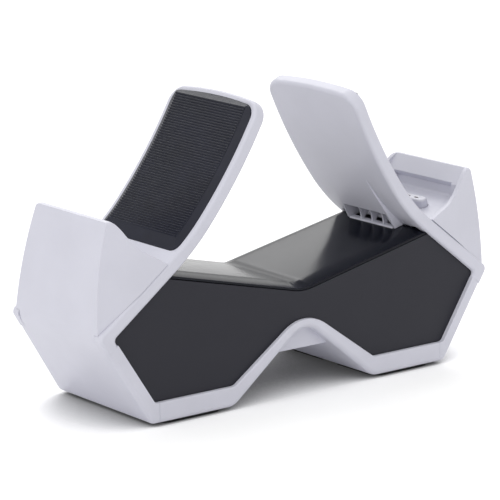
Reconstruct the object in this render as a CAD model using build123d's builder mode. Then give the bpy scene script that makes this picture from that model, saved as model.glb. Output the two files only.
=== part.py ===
"""A charging dock for two game controllers, in millimetres: X along its length, front at -Y, Z up."""
import os
from math import atan2, cos, degrees, radians, sin, sqrt

from build123d import *

os.makedirs("parts", exist_ok=True)

# Front and rear faces: they lean inward going up, and the backrests stand upright above them
face_half = 36.0         # half depth of the rim's face, taken at the floor
face_lean = 0.058        # inward lean, per millimetre of height
facet_back = 1.25        # how far an end's side facet lies behind that face at the shoulder corner
facet_lean = 0.117       # its inward lean, per millimetre of height
facet_taper = 0.16       # and per millimetre towards the end
tongue_in = 4.6          # how far a backrest's sides lie inside that face
flange_t = 2.0           # the rim in front of the panels
wall_t = 2.5             # walls of the tray and of the ends
side_t = 2.2             # side walls and floor of a pocket
fit_gap = 0.2            # clearance between parts that slip together
seam_gap = 0.06          # fine open line between parts that meet in view
rim_r = 2.6              # rounding of the rim's outer edges
lip_r = 0.8              # rounding of its opening

# Opening of the rim, right half, from the shoulder down the slope to the foot and up the arch
shoulder_x = 117.0
shoulder_z = 44.2
toe_x = 94.2
heel_x = 45.7
sill_z = 11.5
arch_z = 41.6            # where the two arch lines of the opening would cross
arch_r = 23.0
band_w = 6.8             # width of the rim on the slope and along the shoulder, and thickness of a backrest
band_angle = 35.7        # slope of the shoulder, from level
root_x = 79.9            # here the straight shoulder turns into the curved backrest

# Underside
foot_t = 2.0             # rubber feet
foot_seat = 0.5          # how deep they sit in the tray
arch_out_z = 35.7        # where the two arch lines of the underside would cross
heel_out_x = 45.6
arch_out_r = 13.5
heel_r = 10.0            # rounding where the underside turns up into the arch
belly_z = 21.4           # flat underside of the middle, seen behind the rim's arch
belly_in = 6.7           # how far the belly's front and rear lie behind the rim's faces
part_x = 91.8            # parting line between the tray and an end

# Backrest curve, from its root up
low_r = 105.0
low_turn = 14.3
high_r = 260.0
rest_top = 143.2         # height of its inner top edge
rest_crown = 2.2         # how far the top edge arches
rest_corner = 9.0
rest_r = 1.5             # rounding of its outer edges
rest_in_r = 2.0          # and of its inner ones
leg_depth = 5.0          # depth of the legs behind the rim's face
knee_r = 150.0           # blend between the leaning legs and the upright plate

# End wall and pocket
end_low_z = shoulder_z - 0.4
end_mid = (shoulder_x + 6.2, shoulder_z + 27.8)
end_top = (shoulder_x + 0.5, shoulder_z + 52.8)
end_r = 14.0             # blend between the slope and the end wall
side_fall = [(5.5, 2.2), (8.3, 5.3), (11.5, 9.2), (15.7, 13.2), (22.0, 17.0)]
side_top = [(end_top[0] - a, end_top[1] - b) for a, b in side_fall]
side_end = 6.1           # from the root of the backrest to the end of that curve
lip_t = 2.4
lip_x = shoulder_x - 7.4
lip_z = shoulder_z + 44.4
recess_d = 2.8           # depth of the recess under the lip
recess_in = 10.9         # from a backrest's side to the end of the recess
recess_r = 2.0
lip_soft = 0.8           # bevel of the lip's lower edge
end_corner_r = 2.0       # rounding of the end wall's top corners
recess_x = lip_x + recess_d
floor_out = (shoulder_x - 4.0, shoulder_z + 37.6)
floor_in = (shoulder_x - 35.0, shoulder_z + 27.7)
post_x = shoulder_x - 18.5

# Top cover
cover_z = 53.4           # height of its valley
cover_slope = 0.21
cover_t = 3.2
cover_border = 8.4       # from a backrest's side to the flat
cover_drop = 2.3         # fall of its bevelled borders
cover_r = 26.0

# Panels
panel_t = 2.5
panel_lap = 1.7          # how far a panel reaches behind the rim
panel_gap = 0.25         # open line between a panel and the cover

# Pads
pad_seat = 1.0
pad_in = 2.8             # white border beside a pad
pad_bevel = 3.6          # width of its bevelled sides
pad_rise = 1.9
rib_rise = 0.5
rib_count = 54
pad_bottom = 6.5         # length of the bevel at the pad's lower end

# Fasteners
screw_r = 1.5
head_r = 2.9

# Directions, widths and corners that follow from those sizes
tongue_half = face_half - tongue_in
pad_half = tongue_half - pad_in
rib_half = pad_half - pad_bevel
cover_flat = tongue_half - cover_border
recess_half = tongue_half - recess_in
tan_band = sin(radians(band_angle)) / cos(radians(band_angle))
band_u = (-cos(radians(band_angle)), sin(radians(band_angle)))
band_n = (sin(radians(band_angle)), cos(radians(band_angle)))
slope_len = sqrt((shoulder_x - toe_x) ** 2 + (shoulder_z - sill_z) ** 2)
slope_u = ((shoulder_x - toe_x) / slope_len, (shoulder_z - sill_z) / slope_len)
slope_n = (slope_u[1], -slope_u[0])
sky = rest_top + 20      # a height above the whole dock
ground = -20.0           # and one below it
wide = face_half + 30    # a half depth beyond it
reach = shoulder_x + 60  # and a half length
rim_z = foot_t - foot_seat
tray_z = rim_z + wall_t


def along(p, u, d):
    """Point at a distance d from p in direction u."""
    return (p[0] + u[0] * d, p[1] + u[1] * d)


def slope_at(z, out):
    """Point of the slope at height z, moved outward by a distance."""
    return (toe_x + (z - sill_z) * slope_u[0] / slope_u[1] + out / slope_n[0], z)


def band_at(x, out):
    """Point of the shoulder line at a given x, moved outward by a distance."""
    return (x, shoulder_z + (shoulder_x - x) * tan_band + out / band_n[1])


def cover_at(x):
    """Height of the cover's flat at a given x, without the rounding of its valley."""
    return cover_z + cover_slope * abs(x)


def lean_points(half, lean, low, high):
    """A slice across the dock between two leaning faces."""
    a = half - lean * low
    b = half - lean * high
    return [(-a, low), (a, low), (b, high), (-b, high)]


def facet_plane(side, inset):
    """Plane of an end's side facet, moved inward by a distance."""
    y = face_half - face_lean * shoulder_z - facet_back - inset
    return Plane(origin=(shoulder_x, side * y, shoulder_z), z_dir=(facet_taper, side, facet_lean))


def corner(out):
    """Shoulder corner of the opening, moved outward on both its sides."""
    dot = band_n[0] * slope_n[0] + band_n[1] * slope_n[1]
    k = out / (1 + dot)
    return (shoulder_x + k * (band_n[0] + slope_n[0]), shoulder_z + k * (band_n[1] + slope_n[1]))


# The curve of a backrest: its two arcs have their centres on the pad's side
root = band_at(root_x, 0)
turn_0 = 90 - band_angle
turn_1 = turn_0 - low_turn
low_c = (root[0] + low_r * cos(radians(turn_0)), root[1] + low_r * sin(radians(turn_0)))
knee_p = (low_c[0] - low_r * cos(radians(turn_1)), low_c[1] - low_r * sin(radians(turn_1)))
high_c = along(knee_p, (cos(radians(turn_1)), sin(radians(turn_1))), high_r)
turn_2 = degrees(atan2(high_c[1] - rest_top, sqrt(high_r ** 2 - (high_c[1] - rest_top) ** 2)))


def rest_at(turn, out):
    """Point of the backrest where it stands at an angle from upright, moved outward by a distance."""
    c, r = (low_c, low_r) if turn > turn_1 else (high_c, high_r)
    return (c[0] - (r - out) * cos(radians(turn)), c[1] - (r - out) * sin(radians(turn)))


def rest_offset(x, z):
    """How far a point lies outward of the backrest's inner side."""
    if x > root_x and z < root[1] + 8:
        on_slope = (x - toe_x) * slope_n[0] + (z - sill_z) * slope_n[1]
        return max(on_slope, (x - shoulder_x) * band_n[0] + (z - shoulder_z) * band_n[1])
    turn = degrees(atan2(low_c[1] - z, low_c[0] - x))
    c, r = (low_c, low_r) if turn > turn_1 else (high_c, high_r)
    return r - sqrt((c[0] - x) ** 2 + (c[1] - z) ** 2)


tip = corner(band_w)
joint_in = along((shoulder_x, shoulder_z), slope_u, -3.0)
joint_out = along(joint_in, slope_n, band_w)

# Tray: bottom strip and arch, with the lower part of the rim on both faces
channel_x = heel_out_x + wall_t * 0.33
arch_k = (arch_out_z - rim_z) / heel_out_x
channel_apex = tray_z + channel_x * arch_k
open_k = (arch_z - sill_z) / heel_x
crown_in = arch_z - arch_r * (sqrt(1 + open_k ** 2) - 1)
crown_out = arch_out_z - arch_out_r * (sqrt(1 + arch_k ** 2) - 1)
belly_x = (arch_out_z - belly_z) / arch_k
belly_half = face_half - face_lean * belly_z - belly_in
belly_room_x = (channel_apex - belly_z - wall_t) / arch_k - fit_gap


def rim_mid(x):
    """Height of the line half way between the opening and the underside."""
    on_arch = (arch_z + arch_out_z) / 2 - abs(x) * (open_k + arch_k) / 2
    return max((sill_z + rim_z) / 2, min((crown_in + crown_out) / 2, on_arch))


with BuildPart() as tray_hollow:
    with BuildSketch(Plane.XZ) as tray_hollow_s:
        Polygon((-reach, tray_z), (-channel_x, tray_z), (0, channel_apex), (channel_x, tray_z),
                (reach, tray_z), (reach, sky), (-reach, sky), align=None)
        fillet(tray_hollow_s.vertices().sort_by_distance((0, channel_apex))[0], arch_out_r + wall_t)
    extrude(amount=wide, both=True)
    with BuildSketch(Plane.YZ):
        Polygon(*lean_points(face_half - flange_t, face_lean, ground, sky), align=None)
    extrude(amount=reach, both=True, mode=Mode.INTERSECT)

board_x = 62.0
board_in = 14.0          # from the face to the board's edge
board_d = 2 * (face_half - board_in)
board_z = 11.0
board_t = 1.6
socket_w = 14.0          # housing of the power inlet on the board
pillar_r = 2.6
pillar_head = 2.2        # head of a board screw
pillar_hole = 0.95
pillar_out = socket_w / 2 + pillar_head + 2 * fit_gap
board_l = 2 * (pillar_out + 3.4)
pillars = [(board_x + i * pillar_out, j * (board_d / 2 - 4)) for i in (-1, 1) for j in (-1, 1)]
foot_x0 = heel_out_x + heel_r * (sqrt(1 + arch_k ** 2) - 1) / arch_k + 1.5 * fit_gap
foot_x1 = part_x - 2.8
foot_in = 3.0
foot_half = face_half - foot_in
foot_notch = 5.5
foot_r = 7.0             # rounding of their outer corners
foot_points = [(foot_x0, -foot_half), (foot_x1, -foot_half), (foot_x1, foot_half), (foot_x0, foot_half),
               (foot_x0, foot_notch), (foot_x0 + 4, foot_notch), (foot_x0 + 4, -foot_notch),
               (foot_x0, -foot_notch)]
base_screws_at = [(i * (part_x - 7.8), j * (face_half - 16)) for i in (-1, 1) for j in (-1, 1)]

with BuildPart() as bottom_frame:
    with BuildSketch(Plane.XZ) as rim_s:
        tray_x = part_x - 2 * seam_gap
        Polygon((-tray_x, rim_z), (-heel_out_x, rim_z), (0, arch_out_z), (heel_out_x, rim_z),
                (tray_x, rim_z), (tray_x, sill_z), (heel_x, sill_z), (0, arch_z), (-heel_x, sill_z),
                (-tray_x, sill_z), align=None)
        fillet(rim_s.vertices().sort_by_distance((0, arch_out_z))[0], arch_out_r)
        fillet(rim_s.vertices().sort_by_distance((0, arch_z))[0], arch_r)
        for side in (-1, 1):
            fillet(rim_s.vertices().sort_by_distance((side * heel_out_x, rim_z))[0], heel_r)
            fillet(rim_s.vertices().sort_by_distance((side * heel_x, sill_z))[0], 5)
    extrude(amount=wide, both=True)
    with BuildSketch(Plane.YZ):
        Polygon(*lean_points(face_half, face_lean, ground, sky), align=None)
    extrude(amount=reach, both=True, mode=Mode.INTERSECT)
    rim_edges = bottom_frame.edges().filter_by(lambda e: abs(e.center().Y) > face_half - 6
                                               and abs(e.center().X) < part_x - 1)
    fillet(rim_edges.filter_by(lambda e: e.center().Z < rim_mid(e.center().X)), rim_r)
    rim_edges = bottom_frame.edges().filter_by(lambda e: abs(e.center().Y) > face_half - 6
                                               and abs(e.center().X) < part_x - 1)
    fillet(rim_edges.filter_by(lambda e: e.center().Z > rim_mid(e.center().X)), lip_r)
    add(tray_hollow.part, mode=Mode.SUBTRACT)
    with BuildSketch(Plane.XZ):
        Polygon((-belly_x - wall_t / 3, belly_z), (belly_x + wall_t / 3, belly_z),
                (0, arch_out_z + arch_k * wall_t / 3), align=None)
    extrude(amount=belly_half, both=True)
    with BuildSketch(Plane.XZ):
        Polygon((-belly_room_x, belly_z + wall_t), (belly_room_x, belly_z + wall_t),
                (belly_room_x, channel_apex), (-belly_room_x, channel_apex), align=None)
    extrude(amount=belly_half - wall_t, both=True, mode=Mode.SUBTRACT)
    with BuildSketch(Plane.XY.offset(tray_z - 0.2)):
        with Locations(*pillars):
            Circle(pillar_r)
    extrude(until=None, amount=board_z - tray_z + 0.2)
    with BuildSketch(Plane.XY.offset(board_z)):
        with Locations(*pillars):
            Circle(pillar_hole)
    extrude(amount=-6, mode=Mode.SUBTRACT)
    with BuildSketch(Plane.XY):
        with Locations(*base_screws_at):
            Circle(screw_r + fit_gap)
    extrude(amount=20, mode=Mode.SUBTRACT)
    with BuildSketch(Plane.XY):
        with Locations(*base_screws_at):
            Circle(head_r + fit_gap)
    extrude(amount=rim_z + 1.4, mode=Mode.SUBTRACT)
    for side in (-1, 1):
        with BuildSketch(Plane.XY) as seat_s:
            Polygon(*[(side * x, y) for x, y in foot_points], align=None)
            fillet(seat_s.vertices().filter_by(lambda v: abs(v.Y) > foot_half - 1), foot_r)
            offset(amount=fit_gap)
        extrude(amount=foot_t, mode=Mode.SUBTRACT)
bottom_frame.part.label = "bottom_frame"
export_step(bottom_frame.part, "parts/bottom_frame.step")

# Ends: slope, end wall, facets and pocket, hollow below the pocket floor
end_low = slope_at(end_low_z, band_w)
seam_out = band_w + seam_gap
floor_k = (floor_out[1] - floor_in[1]) / (floor_out[0] - floor_in[0])
floor_cos = 1 / sqrt(1 + floor_k ** 2)
tab_x = part_x - 14.8
tab_half = face_half - 10
tab_t = 2.2
boss_r = 3.6
boss_z = 14.0


def floor_at(x, out):
    """Height of the pocket floor at a given x, moved along its normal by a distance."""
    return floor_in[1] + (x - floor_in[0]) * floor_k + out / floor_cos


def on_outside(p):
    """True for a point on the outer skin of an end, from its bottom up the slope and the end wall."""
    if p.Z < end_low_z - 4:
        return p.X > slope_at(p.Z, band_w)[0] - 1 or (p.Z < rim_z + 1 and p.X > part_x + 0.5)
    if p.Z > end_top[1] - 1:
        return False
    low, high = (end_low, end_mid) if p.Z < end_mid[1] else (end_mid, end_top)
    k = (p.Z - low[1]) / (high[1] - low[1])
    return p.X > low[0] + k * (high[0] - low[0]) - 1.8


with BuildPart() as facet_core:
    with BuildSketch(Plane.YZ):
        Polygon((-wide, ground), (wide, ground), (wide, sky), (-wide, sky), align=None)
    extrude(amount=reach)
    for side in (-1, 1):
        split(bisect_by=facet_plane(side, 0), keep=Keep.BOTTOM)

with BuildPart() as facet_hollow:
    with BuildSketch(Plane.YZ):
        Polygon(*lean_points(face_half - side_t, face_lean, ground, sky), align=None)
    extrude(amount=reach)
    for side in (-1, 1):
        split(bisect_by=facet_plane(side, side_t), keep=Keep.BOTTOM)

with BuildPart() as facet_space:
    with BuildSketch(Plane.XZ):
        Polygon(band_at(root_x - 20, seam_out), band_at(tip[0] + 20, seam_out), (tip[0] + 20, sky),
                (root_x - 20, sky), align=None)
    extrude(amount=wide, both=True)
    add(facet_core.part, mode=Mode.SUBTRACT)

with BuildPart() as facet_skin:
    with BuildSketch(Plane.XZ):
        Polygon(band_at(root_x - 20, seam_out), band_at(tip[0] + 20, seam_out), (tip[0] + 20, sky),
                (root_x - 20, sky), align=None)
    extrude(amount=wide, both=True)
    add(facet_hollow.part, mode=Mode.SUBTRACT)

with BuildPart() as under_floor:
    with BuildSketch(Plane.XZ):
        with BuildLine():
            under_a = slope_at(tray_z, band_w - wall_t)
            under_b = slope_at(end_low_z - 4, band_w - wall_t)
            under_c = (end_mid[0] - wall_t, end_mid[1] - 6)
            under_x = end_mid[0] - wall_t - 4.5
            under_d = (under_x, floor_at(under_x, -side_t))
            Polyline((root_x - 20, tray_z), under_a, under_b)
            ThreePointArc(under_b, under_c, under_d)
            Polyline(under_d, (root_x - 8, floor_at(root_x - 8, -side_t)), (root_x - 20, root[1] - 10),
                     (root_x - 20, tray_z))
        make_face()
    extrude(amount=wide, both=True)
    with BuildSketch(Plane.YZ):
        Polygon(*lean_points(face_half - side_t, face_lean, ground, sky), align=None)
    extrude(amount=reach, both=True, mode=Mode.INTERSECT)
    add(facet_skin.part, mode=Mode.SUBTRACT)

with BuildPart() as pocket:
    with BuildSketch(Plane.XZ):
        pocket_x = root_x - 20
        lip_back = end_top[0] - lip_t + 0.4
        Polygon((pocket_x, floor_at(pocket_x, 0)), (lip_x + 0.4, floor_at(lip_x + 0.4, 0)), (lip_x, lip_z),
                (lip_back, end_top[1] + 1), (lip_back, sky), (pocket_x, sky), align=None)
    extrude(amount=wide, both=True)
    add(facet_hollow.part, mode=Mode.INTERSECT)

with BuildPart() as leg_space:
    with BuildSketch(Plane.XZ):
        leg_reach = shoulder_x - root_x
        Polygon(along(joint_in, slope_n, -leg_reach), along(joint_in, slope_n, leg_reach),
                band_at(tip[0] + 2 * band_w, seam_out), band_at(root_x - 20, seam_out), align=None)
    extrude(amount=wide, both=True)
    with BuildSketch(Plane.YZ):
        Polygon(*lean_points(face_half - leg_depth - fit_gap, face_lean, ground, sky), align=None)
    extrude(amount=reach, both=True, mode=Mode.SUBTRACT)

post_plane = Plane(origin=(post_x, 0, floor_at(post_x, 0)), x_dir=(0, 1, 0),
                   z_dir=(-floor_k * floor_cos, 0, floor_cos))
post_l = 29.4
post_w = 5.6
post_h = 4.2

with BuildPart() as end_shell_right:
    with BuildSketch(Plane.XZ) as end_s:
        with BuildLine():
            end_a = slope_at(rim_z, band_w)
            end_b = (end_top[0] - lip_t, end_top[1] + 0.2)
            end_c = band_at(root_x + side_end, seam_out)
            end_d = band_at(shoulder_x + 2, seam_out)
            Polyline((part_x, rim_z), end_a, end_low)
            ThreePointArc(end_low, end_mid, end_top)
            Line(end_top, end_b)
            Spline(end_b, *side_top, end_c)
            Polyline(end_c, end_d, joint_in, (toe_x, sill_z), (part_x, sill_z), (part_x, rim_z))
        make_face()
        fillet(end_s.vertices().sort_by_distance(end_a)[0], 4)
        fillet(end_s.vertices().sort_by_distance(end_low)[0], end_r)
        fillet(end_s.vertices().sort_by_distance((toe_x, sill_z))[0], 3)
    extrude(amount=wide, both=True)
    with BuildSketch(Plane.YZ):
        Polygon(*lean_points(face_half, face_lean, ground, sky), align=None)
    extrude(amount=reach, both=True, mode=Mode.INTERSECT)
    outer_edges = end_shell_right.edges().filter_by(lambda e: abs(e.center().Y) > face_half - 16
                                                    and on_outside(e.center()))
    fillet(outer_edges, rim_r)
    add(facet_space.part, mode=Mode.SUBTRACT)
    top_corners = end_shell_right.edges().filter_by(lambda e: e.center().Z > end_top[1] - 0.5
                                                    and abs(e.center().Y) > 15)
    fillet(top_corners, end_corner_r)
    add(under_floor.part, mode=Mode.SUBTRACT)
    add(pocket.part, mode=Mode.SUBTRACT)
    add(leg_space.part, mode=Mode.SUBTRACT)
    with BuildSketch(Plane.XZ) as recess_s:
        Polygon((lip_x - 0.4, lip_z + lip_soft), (lip_x + lip_soft * 0.6, lip_z + lip_soft),
                (lip_x + lip_soft * 1.6, lip_z - 0.6), (recess_x, lip_z - 1.6),
                (recess_x, floor_at(recess_x, 0)), (lip_x - 0.4, floor_at(lip_x - 0.4, 0)), align=None)
        fillet(recess_s.vertices().sort_by_distance((recess_x, floor_at(recess_x, 0)))[0], recess_r)
    extrude(amount=recess_half, both=True, mode=Mode.SUBTRACT)
    with BuildSketch(Plane.XY.offset(tray_z)):
        with Locations((tab_x, 0)):
            Rectangle(part_x + 4 - tab_x, 2 * tab_half, align=(Align.MIN, Align.CENTER))
    extrude(amount=tab_t)
    with BuildSketch(Plane.XY.offset(tray_z)):
        with Locations(*[p for p in base_screws_at if p[0] > 0]):
            Circle(boss_r)
    extrude(amount=boss_z - tray_z)
    with BuildSketch(Plane.XY.offset(tray_z)):
        with Locations(*[p for p in base_screws_at if p[0] > 0]):
            Circle(screw_r + 0.05)
    extrude(amount=boss_z - tray_z - 1, mode=Mode.SUBTRACT)
    with BuildSketch(post_plane):
        SlotOverall(post_l + 3 * fit_gap, post_w + 3 * fit_gap)
    extrude(amount=-2 * side_t, mode=Mode.SUBTRACT)
end_shell_right.part.label = "end_shell_right"
export_step(end_shell_right.part, "parts/end_shell_right.step")

# Backrests: a curved plate whose two legs run down to the shoulder as the upper part of the rim
turn_end = turn_2
rest_len_high = turn_1 - turn_end
top_in = rest_at(turn_end, 0)
top_out = rest_at(turn_end, band_w)
rest_plane = Plane(origin=(top_in[0], 0, top_in[1]), x_dir=(0, 1, 0),
                   z_dir=(cos(radians(turn_end)), 0, sin(radians(turn_end))))
hood_up = turn_1 - 3.7       # angle of the curve where the hood starts
hood_top = rest_at(hood_up, 0.4)
hood_rise = 2.0          # how far the hood stands out from the plate
hood_edge = rest_at(turn_0 - 7.3, -hood_rise)
hood_half_top = 13.2
hood_half_low = 16.8
rest_floor_z = cover_at(root_x) + 0.8     # level lower end of the plate between its legs
hood_skin = 1.2
mouth_x = root_x - 5.5
mouth_low = (mouth_x, cover_at(mouth_x) + fit_gap)
mouth_deep = 4.8         # depth of the vent's hollow, from the inner side of the plate
mouth_top = turn_0 - 7.8     # where that hollow ends, as the curve's angle
mouth_bottom = turn_0 - 0.8
mouth_len = sqrt((mouth_low[0] - hood_edge[0]) ** 2 + (mouth_low[1] - hood_edge[1]) ** 2)
mouth_u = ((mouth_low[0] - hood_edge[0]) / mouth_len, (mouth_low[1] - hood_edge[1]) / mouth_len)
mouth_n = (mouth_u[1], -mouth_u[0])

with BuildPart() as leg_gap:
    with BuildSketch(Plane.XZ):
        Polygon((root_x - 20, rest_floor_z), (tip[0] + 20, rest_floor_z), (tip[0] + 20, sill_z),
                (root_x - 20, sill_z), align=None)
    extrude(amount=wide, both=True)
    with BuildSketch(Plane.YZ):
        Polygon(*lean_points(face_half - leg_depth, face_lean, ground, sky), align=None)
    extrude(amount=reach, both=True, mode=Mode.INTERSECT)

with BuildPart() as leg_rebate:
    with BuildSketch(Plane.XZ):
        rebate_z = joint_in[1] - 16
        rebate = panel_lap + 0.5
        Polygon(slope_at(rebate_z, rebate), corner(rebate), band_at(root_x + 2.5, rebate),
                (root_x + 2.5, rebate_z), align=None)
    extrude(amount=wide, both=True)
    with BuildSketch(Plane.YZ):
        Polygon(*lean_points(face_half - flange_t, face_lean, ground, sky), align=None)
    extrude(amount=reach, both=True, mode=Mode.INTERSECT)

hood_turn = degrees(atan2(low_c[1] - hood_edge[1], low_c[0] - hood_edge[0]))
hood_mid = rest_at((hood_up + hood_turn) / 2, -hood_rise * 0.45)
hood_fall = (hood_half_low - hood_half_top) / (hood_top[1] + 4 - rest_floor_z)

with BuildPart() as hood:
    with BuildSketch(Plane.XZ):
        with BuildLine():
            ThreePointArc(hood_top, hood_mid, hood_edge)
            Polyline(hood_edge, mouth_low, (root_x, cover_at(root_x) + fit_gap), rest_at(mouth_bottom, 2.5),
                     rest_at(mouth_top, 2.5), rest_at(turn_1, 2.5), rest_at(hood_up, 2.5), hood_top)
        make_face()
    extrude(amount=wide, both=True)
    with BuildSketch(Plane.YZ):
        Polygon(*lean_points(hood_half_low + hood_fall * rest_floor_z, hood_fall, ground, sky), align=None)
    extrude(amount=reach, both=True, mode=Mode.INTERSECT)

with BuildPart() as mouth:
    with BuildSketch(Plane.XZ):
        mouth_a = along(hood_edge, mouth_u, hood_skin)
        Polygon(along(mouth_a, mouth_n, 3), mouth_a, rest_at(mouth_top, mouth_deep),
                rest_at(mouth_bottom, mouth_deep), (root_x + 1, rest_floor_z - 4),
                (hood_edge[0], rest_floor_z - 4), align=None)
    extrude(amount=wide, both=True)
    with BuildSketch(Plane.YZ):
        mouth_half = hood_half_low - hood_skin
        Polygon(*lean_points(mouth_half + hood_fall * rest_floor_z, hood_fall, ground, sky), align=None)
    extrude(amount=reach, both=True, mode=Mode.INTERSECT)

# Seat of the pad in the outer side, and the outline the pad is trimmed to
pad_low = turn_0 - 3.0       # angle of the curve at the pad's lower end
pad_rim = 2.8            # rim left around the pad at the top
pad_corner = 6.5
pad_foot_r = 4.0         # rounding of its lower corners
pad_end = rest_at(pad_low, band_w)
pad_end_y = (pad_end[1] - top_in[1]) * cos(radians(turn_end))
pad_end_y = pad_end_y - (pad_end[0] - top_in[0]) * sin(radians(turn_end))

with BuildPart() as pad_outline:
    with BuildSketch(rest_plane) as pad_outline_s:
        with BuildLine():
            pad_fall = rest_crown * (pad_half / tongue_half) ** 2 + pad_rim
            ThreePointArc((-pad_half, -pad_fall), (0, -pad_rim), (pad_half, -pad_fall))
            Polyline((pad_half, -pad_fall), (pad_half, pad_end_y), (-pad_half, pad_end_y),
                     (-pad_half, -pad_fall))
        make_face()
        pad_vertices = pad_outline_s.vertices().sort_by_distance((0, -pad_rim))
        fillet(pad_vertices[:2], pad_corner)
        fillet(pad_outline_s.vertices().sort_by_distance((0, pad_end_y * 2))[:2], pad_foot_r)
    extrude(amount=reach, both=True)

with BuildPart() as pad_space:
    with BuildSketch(Plane.XZ):
        with BuildLine():
            seat_turn = pad_low + 1
            seat_a = rest_at(seat_turn, band_w - pad_seat)
            seat_u = (-sin(radians(seat_turn)), cos(radians(seat_turn)))
            seat_1 = JernArc(seat_a, seat_u, low_r - band_w + pad_seat, turn_1 - seat_turn)
            seat_2 = JernArc(seat_1 @ 1, seat_1 % 1, high_r - band_w + pad_seat, -rest_len_high)
            Polyline(seat_a, rest_at(seat_turn, band_w + 8), rest_at(turn_1, band_w + 14),
                     rest_at(turn_end, band_w + 8), seat_2 @ 1)
        make_face()
    extrude(amount=pad_half + fit_gap, both=True)
    with BuildSketch(rest_plane) as pad_space_s:
        with BuildLine():
            space_half = pad_half + fit_gap
            space_fall = pad_fall - fit_gap
            ThreePointArc((-space_half, -space_fall), (0, fit_gap - pad_rim), (space_half, -space_fall))
            space_end = pad_end_y - fit_gap
            Polyline((space_half, -space_fall), (space_half, space_end), (-space_half, space_end),
                     (-space_half, -space_fall))
        make_face()
        fillet(pad_space_s.vertices().sort_by_distance((0, -pad_rim))[:2], pad_corner + fit_gap)
        fillet(pad_space_s.vertices().sort_by_distance((0, space_end * 2))[:2], pad_foot_r + fit_gap)
    extrude(amount=reach, both=True, mode=Mode.INTERSECT)

with BuildPart() as backrest_right:
    with BuildSketch(Plane.XZ) as rest_s:
        with BuildLine():
            root_out = along(root, band_n, band_w)
            Polyline(root_out, tip, joint_out, joint_in, (shoulder_x, shoulder_z), root)
            rest_in = JernArc(root, band_u, low_r, -low_turn)
            rest_in2 = JernArc(rest_in @ 1, rest_in % 1, high_r, -rest_len_high)
            rest_out = JernArc(root_out, band_u, low_r - band_w, -low_turn)
            rest_out2 = JernArc(rest_out @ 1, rest_out % 1, high_r - band_w, -rest_len_high)
            Line(rest_in2 @ 1, rest_out2 @ 1)
        make_face()
        fillet(rest_s.vertices().sort_by_distance(tip)[0], 3)
        fillet(rest_s.vertices().sort_by_distance((shoulder_x, shoulder_z))[0], 2)
    extrude(amount=wide, both=True)
    with BuildSketch(Plane.YZ) as rest_slice:
        knee_z = (face_half - tongue_half) / face_lean
        Polygon((-face_half, 0), (face_half, 0), (tongue_half, knee_z), (tongue_half, sky),
                (-tongue_half, sky), (-tongue_half, knee_z), align=None)
        fillet(rest_slice.vertices().filter_by(lambda v: 1 < v.Y < sky - 1), knee_r)
    extrude(amount=reach, both=True, mode=Mode.INTERSECT)
    with BuildSketch(rest_plane) as crown_s:
        with BuildLine():
            ThreePointArc((-tongue_half, -rest_crown), (0, 0), (tongue_half, -rest_crown))
            Polyline((tongue_half, -rest_crown), (tongue_half, -2 * rest_corner),
                     (wide, -2 * rest_corner - wide), (wide, -reach), (-wide, -reach),
                     (-wide, -2 * rest_corner - wide), (-tongue_half, -2 * rest_corner),
                     (-tongue_half, -rest_crown))
        make_face()
        fillet(crown_s.vertices().sort_by_distance((0, reach))[:2], rest_corner)
    extrude(amount=reach, both=True, mode=Mode.INTERSECT)
    long_edges = backrest_right.edges().filter_by(lambda e: abs(e.center().Y) > tongue_half - 6
                                                or e.center().Z > rest_top - 3)
    fillet(long_edges.filter_by(lambda e: rest_offset(e.center().X, e.center().Z) > band_w - 1.5), rest_r)
    long_edges = backrest_right.edges().filter_by(lambda e: abs(e.center().Y) > tongue_half - 6
                                                or e.center().Z > rest_top - 3)
    fillet(long_edges.filter_by(lambda e: rest_offset(e.center().X, e.center().Z) < 0.8), rest_in_r)
    add(leg_gap.part, mode=Mode.SUBTRACT)
    add(leg_rebate.part, mode=Mode.SUBTRACT)
    add(hood.part)
    add(mouth.part, mode=Mode.SUBTRACT)
    add(pad_space.part, mode=Mode.SUBTRACT)
backrest_right.part.label = "backrest_right"
export_step(backrest_right.part, "parts/backrest_right.step")

# Vent grille: a lip lying on the cover and three fins in the hollow
fin_t = 1.0
fin_pitch = 8.0
vent_lip_half = mouth_half - fit_gap
vent_lip_t = 0.75
vent_lip_d = 2.6

fin_low = (mouth_x + 0.4, cover_at(mouth_x) + vent_lip_t / 2)
fin_mid = along(along(mouth_low, mouth_u, -mouth_len / 2), mouth_n, -2.4)
fin_top = along(along(hood_edge, mouth_u, hood_skin), mouth_n, -1.4)
fin_in = mouth_deep - 0.3

with BuildPart() as vent_grille_right:
    with BuildSketch(Plane.XZ):
        lip_in = mouth_x + vent_lip_d
        Polygon((mouth_x - 0.5, cover_at(mouth_x - 0.5)), (lip_in, cover_at(lip_in)),
                (lip_in, cover_at(lip_in) + vent_lip_t), (mouth_x, cover_at(mouth_x) + vent_lip_t),
                (mouth_x - 0.5, cover_at(mouth_x - 0.5) + 0.4), align=None)
    extrude(amount=vent_lip_half, both=True)
    for row in (-1, 0, 1):
        with BuildSketch(Plane.XZ.offset(row * fin_pitch)):
            with BuildLine():
                ThreePointArc(fin_low, fin_mid, fin_top)
                Polyline(fin_top, rest_at(mouth_top + 1, fin_in), rest_at(mouth_bottom - 0.4, fin_in),
                         (mouth_x + vent_lip_d, cover_at(mouth_x + vent_lip_d) + vent_lip_t / 2), fin_low)
            make_face()
        extrude(amount=fin_t / 2, both=True)
vent_grille_right.part.label = "vent_grille_right"
export_step(vent_grille_right.part, "parts/vent_grille_right.step")

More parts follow.
